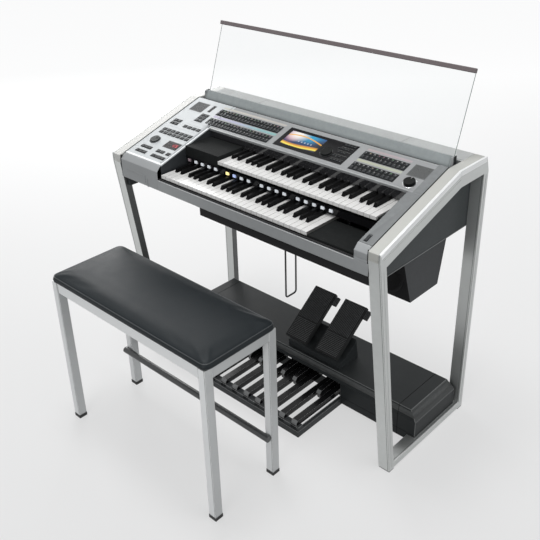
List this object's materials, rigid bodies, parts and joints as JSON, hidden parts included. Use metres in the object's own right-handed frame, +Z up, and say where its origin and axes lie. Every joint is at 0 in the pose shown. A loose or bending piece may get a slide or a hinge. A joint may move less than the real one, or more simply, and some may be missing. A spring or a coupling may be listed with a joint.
{
  "type": "electronic organ",
  "caption": "Two-manual electronic organ on open silver side frames, with sloping control panels, a clear folding music rest, pedalboard, expression pedals, knee lever and a padded bench.",
  "frame": {"origin": "the middle of the bounding box of organ and bench together, at floor level", "axes": "+Z up; +Y from the player towards the rear of the organ; +X to the player's right hand"},
  "size_m": [1.23, 1.0049, 1.2883],
  "materials": {
    "frame_silver": "fine satin silver paint over straight tube",
    "cover_light": "pale satin silver",
    "foot_rubber": "black rubber",
    "side_dark": "charcoal laminate",
    "board_black": "black laminate",
    "top_light": "pale satin silver",
    "panel_grey": "mid grey satin",
    "panel_silver": "brushed silver grey",
    "panel_white": "very pale silver",
    "black_plastic": "matt black",
    "button_dark": "dark grey buttons",
    "button_white": "translucent white caps",
    "screen": "glossy dark display",
    "knob_dark": "dark satin",
    "key_white": "polished ivory white",
    "key_black": "polished black",
    "chassis_steel": "plain plated sheet",
    "electronics": "green board with a silver supply box",
    "rest_rail": "grey satin",
    "rest_clear": "clear sheet",
    "rest_bar": "dark warm grey",
    "speaker_grey": "dark grey",
    "driver_black": "black cone and ring",
    "wire_black": "black painted wire",
    "base_dark": "dark slate",
    "pedal_frame": "charcoal",
    "pedal_gloss": "polished black",
    "shoe_black": "ribbed black",
    "bench_silver": "satin silver tube",
    "cushion": "dark slate leathercloth",
    "stretcher_dark": "dark grey"
  },
  "bodies": {
    "console": {"left_side_frame": "frame_silver", "right_side_frame": "frame_silver", "arm_covers": "cover_light", "frame_foot_pads": "foot_rubber", "side_panels": "side_dark", "bottom_board": "board_black", "front_tray": "black_plastic", "rear_cover": "black_plastic", "top_cover": "top_light", "front_rail": "panel_grey", "key_slip": "black_plastic", "left_end_block": "panel_grey", "right_end_block": "panel_grey", "left_panel": "panel_white", "centre_panel": "panel_silver", "right_cheek": "panel_grey", "key_well_walls": "black_plastic", "panel_riser": "black_plastic", "key_blocks": "black_plastic", "registration_fascia": "black_plastic", "button_bezels": "black_plastic", "display_frame": "black_plastic", "display_screen": "screen", "led_readout": "screen", "tweeter_grilles": "panel_grey", "lower_key_chassis": "chassis_steel", "upper_key_chassis": "chassis_steel", "main_board": "electronics", "rest_channel": "panel_grey", "speaker_box": "speaker_grey", "speaker_driver": "driver_black", "pedal_base": "base_dark", "pedalboard_frame": "pedal_frame", "expression_housing": "base_dark"},
    "lower_natural_keys": {"lower_naturals": "key_white"},
    "lower_sharp_keys": {"lower_sharps": "key_black"},
    "upper_natural_keys": {"upper_naturals": "key_white"},
    "upper_sharp_keys": {"upper_sharps": "key_black"},
    "registration_row": {"registration_buttons": "button_white"},
    "voice_row": {"voice_buttons": "button_dark"},
    "rhythm_row": {"rhythm_buttons": "button_dark"},
    "left_button_field": {"left_panel_buttons": "button_dark"},
    "display_button_field": {"display_buttons": "button_dark"},
    "data_dial": {"data_dial": "knob_dark"},
    "volume_knob": {"volume_knob": "knob_dark"},
    "tempo_dial": {"tempo_dial": "knob_dark"},
    "power_button": {"power_button": "knob_dark"},
    "music_rest": {"rest_holder": "rest_rail", "rest_sheet": "rest_clear", "rest_top_bar": "rest_bar"},
    "knee_lever": {"knee_lever": "wire_black"},
    "natural_pedals": {"natural_pedals": "pedal_gloss"},
    "sharp_pedals": {"sharp_pedals": "pedal_gloss"},
    "left_expression": {"left_expression_pedal": "shoe_black"},
    "right_expression": {"right_expression_pedal": "shoe_black"},
    "left_toe": {"left_toe_switch": "shoe_black"},
    "right_toe": {"right_toe_switch": "shoe_black"},
    "bench": {"bench_frame": "bench_silver", "bench_cushion": "cushion", "bench_stretcher": "stretcher_dark"}
  },
  "joints": [
    {"name": "lower_natural_press", "type": "hinge", "parent": "console", "child": "lower_natural_keys", "pos_m": [0, 0.1545, 0.849], "axis": [1, 0, 0], "range_deg": [0, 2.6], "stiffness_Nm_per_rad": 80, "springref_deg": -3.44},
    {"name": "lower_sharp_press", "type": "hinge", "parent": "console", "child": "lower_sharp_keys", "pos_m": [0, 0.1545, 0.849], "axis": [1, 0, 0], "range_deg": [0, 2.6], "stiffness_Nm_per_rad": 40, "springref_deg": -3.44},
    {"name": "upper_natural_press", "type": "hinge", "parent": "console", "child": "upper_natural_keys", "pos_m": [0, 0.2785, 0.906], "axis": [1, 0, 0], "range_deg": [0, 2.6], "stiffness_Nm_per_rad": 80, "springref_deg": -3.44},
    {"name": "upper_sharp_press", "type": "hinge", "parent": "console", "child": "upper_sharp_keys", "pos_m": [0, 0.2785, 0.906], "axis": [1, 0, 0], "range_deg": [0, 2.6], "stiffness_Nm_per_rad": 40, "springref_deg": -3.44},
    {"name": "registration_press", "type": "slide", "parent": "console", "child": "registration_row", "axis": [0, 1, 0], "range_m": [0, 0.0015], "stiffness_N_per_m": 1500, "springref_m": -0.002},
    {"name": "voice_press", "type": "slide", "parent": "console", "child": "voice_row", "axis": [0, 0.2948, -0.9556], "range_m": [0, 0.001], "stiffness_N_per_m": 2500, "springref_m": -0.002},
    {"name": "rhythm_press", "type": "slide", "parent": "console", "child": "rhythm_row", "axis": [0, 0.2948, -0.9556], "range_m": [0, 0.001], "stiffness_N_per_m": 2500, "springref_m": -0.002},
    {"name": "left_button_press", "type": "slide", "parent": "console", "child": "left_button_field", "axis": [0, 0.2948, -0.9556], "range_m": [0, 0.001], "stiffness_N_per_m": 2500, "springref_m": -0.002},
    {"name": "display_button_press", "type": "slide", "parent": "console", "child": "display_button_field", "axis": [0, 0.2948, -0.9556], "range_m": [0, 0.001], "stiffness_N_per_m": 2500, "springref_m": -0.002},
    {"name": "data_dial_turn", "type": "hinge", "parent": "console", "child": "data_dial", "pos_m": [0.155, 0.2445, 0.98309], "axis": [0, -0.2948, 0.9556], "continuous": true},
    {"name": "volume_turn", "type": "hinge", "parent": "console", "child": "volume_knob", "pos_m": [0.502, 0.2215, 0.976], "axis": [0, -0.2948, 0.9556], "range_deg": [-150, 150]},
    {"name": "tempo_turn", "type": "hinge", "parent": "console", "child": "tempo_dial", "pos_m": [-0.514, 0.0545, 0.92448], "axis": [0, -0.2948, 0.9556], "continuous": true},
    {"name": "power_press", "type": "slide", "parent": "console", "child": "power_button", "axis": [0, 0.2948, -0.9556], "range_m": [0, 0.0015], "stiffness_N_per_m": 800, "springref_m": -0.002},
    {"name": "rest_fold", "type": "hinge", "parent": "console", "child": "music_rest", "pos_m": [0, 0.3665, 1.022], "axis": [1, 0, 0], "range_deg": [0, 125]},
    {"name": "knee_swing", "type": "hinge", "parent": "console", "child": "knee_lever", "pos_m": [0.2, 0.0115, 0.745], "axis": [0, -1, 0], "range_deg": [0, 30], "stiffness_Nm_per_rad": 0.8, "springref_deg": -8.59},
    {"name": "natural_pedal_press", "type": "hinge", "parent": "console", "child": "natural_pedals", "pos_m": [0, 0.2525, 0.041], "axis": [1, 0, 0], "range_deg": [0, 2.2], "stiffness_Nm_per_rad": 140, "springref_deg": -3.44},
    {"name": "sharp_pedal_press", "type": "hinge", "parent": "console", "child": "sharp_pedals", "pos_m": [0, 0.2525, 0.041], "axis": [1, 0, 0], "range_deg": [0, 2.2], "stiffness_Nm_per_rad": 80, "springref_deg": -3.44},
    {"name": "left_expression_tilt", "type": "hinge", "parent": "console", "child": "left_expression", "pos_m": [0.0455, 0.2715, 0.212], "axis": [1, 0, 0], "range_deg": [-22, 4]},
    {"name": "right_expression_tilt", "type": "hinge", "parent": "console", "child": "right_expression", "pos_m": [0.1945, 0.2715, 0.212], "axis": [1, 0, 0], "range_deg": [-22, 4]},
    {"name": "left_toe_push", "type": "slide", "parent": "left_expression", "child": "left_toe", "axis": [-1, 0, 0], "range_m": [0, 0.003], "stiffness_N_per_m": 600, "springref_m": -0.004},
    {"name": "right_toe_push", "type": "slide", "parent": "right_expression", "child": "right_toe", "axis": [-1, 0, 0], "range_m": [0, 0.003], "stiffness_N_per_m": 600, "springref_m": -0.004},
    {"name": "bench_shift", "type": "slide", "parent": "console", "child": "bench", "axis": [0, 1, 0], "range_m": [-0.4, 0.15]}
  ]
}
